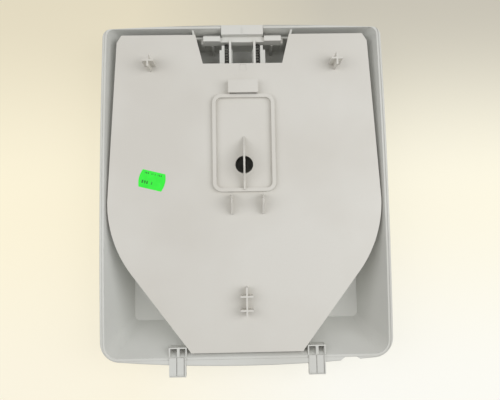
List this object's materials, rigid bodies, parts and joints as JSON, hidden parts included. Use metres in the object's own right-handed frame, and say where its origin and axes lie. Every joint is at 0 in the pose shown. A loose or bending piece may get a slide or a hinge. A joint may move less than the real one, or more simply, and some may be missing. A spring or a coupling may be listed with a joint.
{
  "type": "detergent dispenser",
  "caption": "Lid-mounted detergent dispenser of a top-loading washing machine, back up: drafted shell, back plate with water collar, hinge lugs and a sprung catch.",
  "frame": {"origin": "middle of the whole outline, hinge lugs included, on the front panel's outer face", "axes": "+Z out of the back, towards the back plate; +Y towards the latch; hinge lugs point to -Y"},
  "size_m": [0.287, 0.35, 0.063],
  "materials": {
    "moulding": "fine satin grain",
    "plate": "fine satin grain",
    "spring_steel": "drawn wire",
    "label": "fluorescent coated paper"
  },
  "bodies": {
    "dispenser": {"housing": "moulding", "back_plate": "plate", "latch_spring_left": "spring_steel", "latch_spring_right": "spring_steel", "siphon_cap": "moulding", "price_label": "label"},
    "latch": {"latch_slide": "moulding"}
  },
  "joints": [
    {"name": "latch_push", "type": "slide", "parent": "dispenser", "child": "latch", "axis": [0, 1, 0], "range_m": [-0.004, 0], "stiffness_N_per_m": 500, "springref_m": 0.004, "deforming": ["latch_spring_left", "latch_spring_right"]}
  ]
}
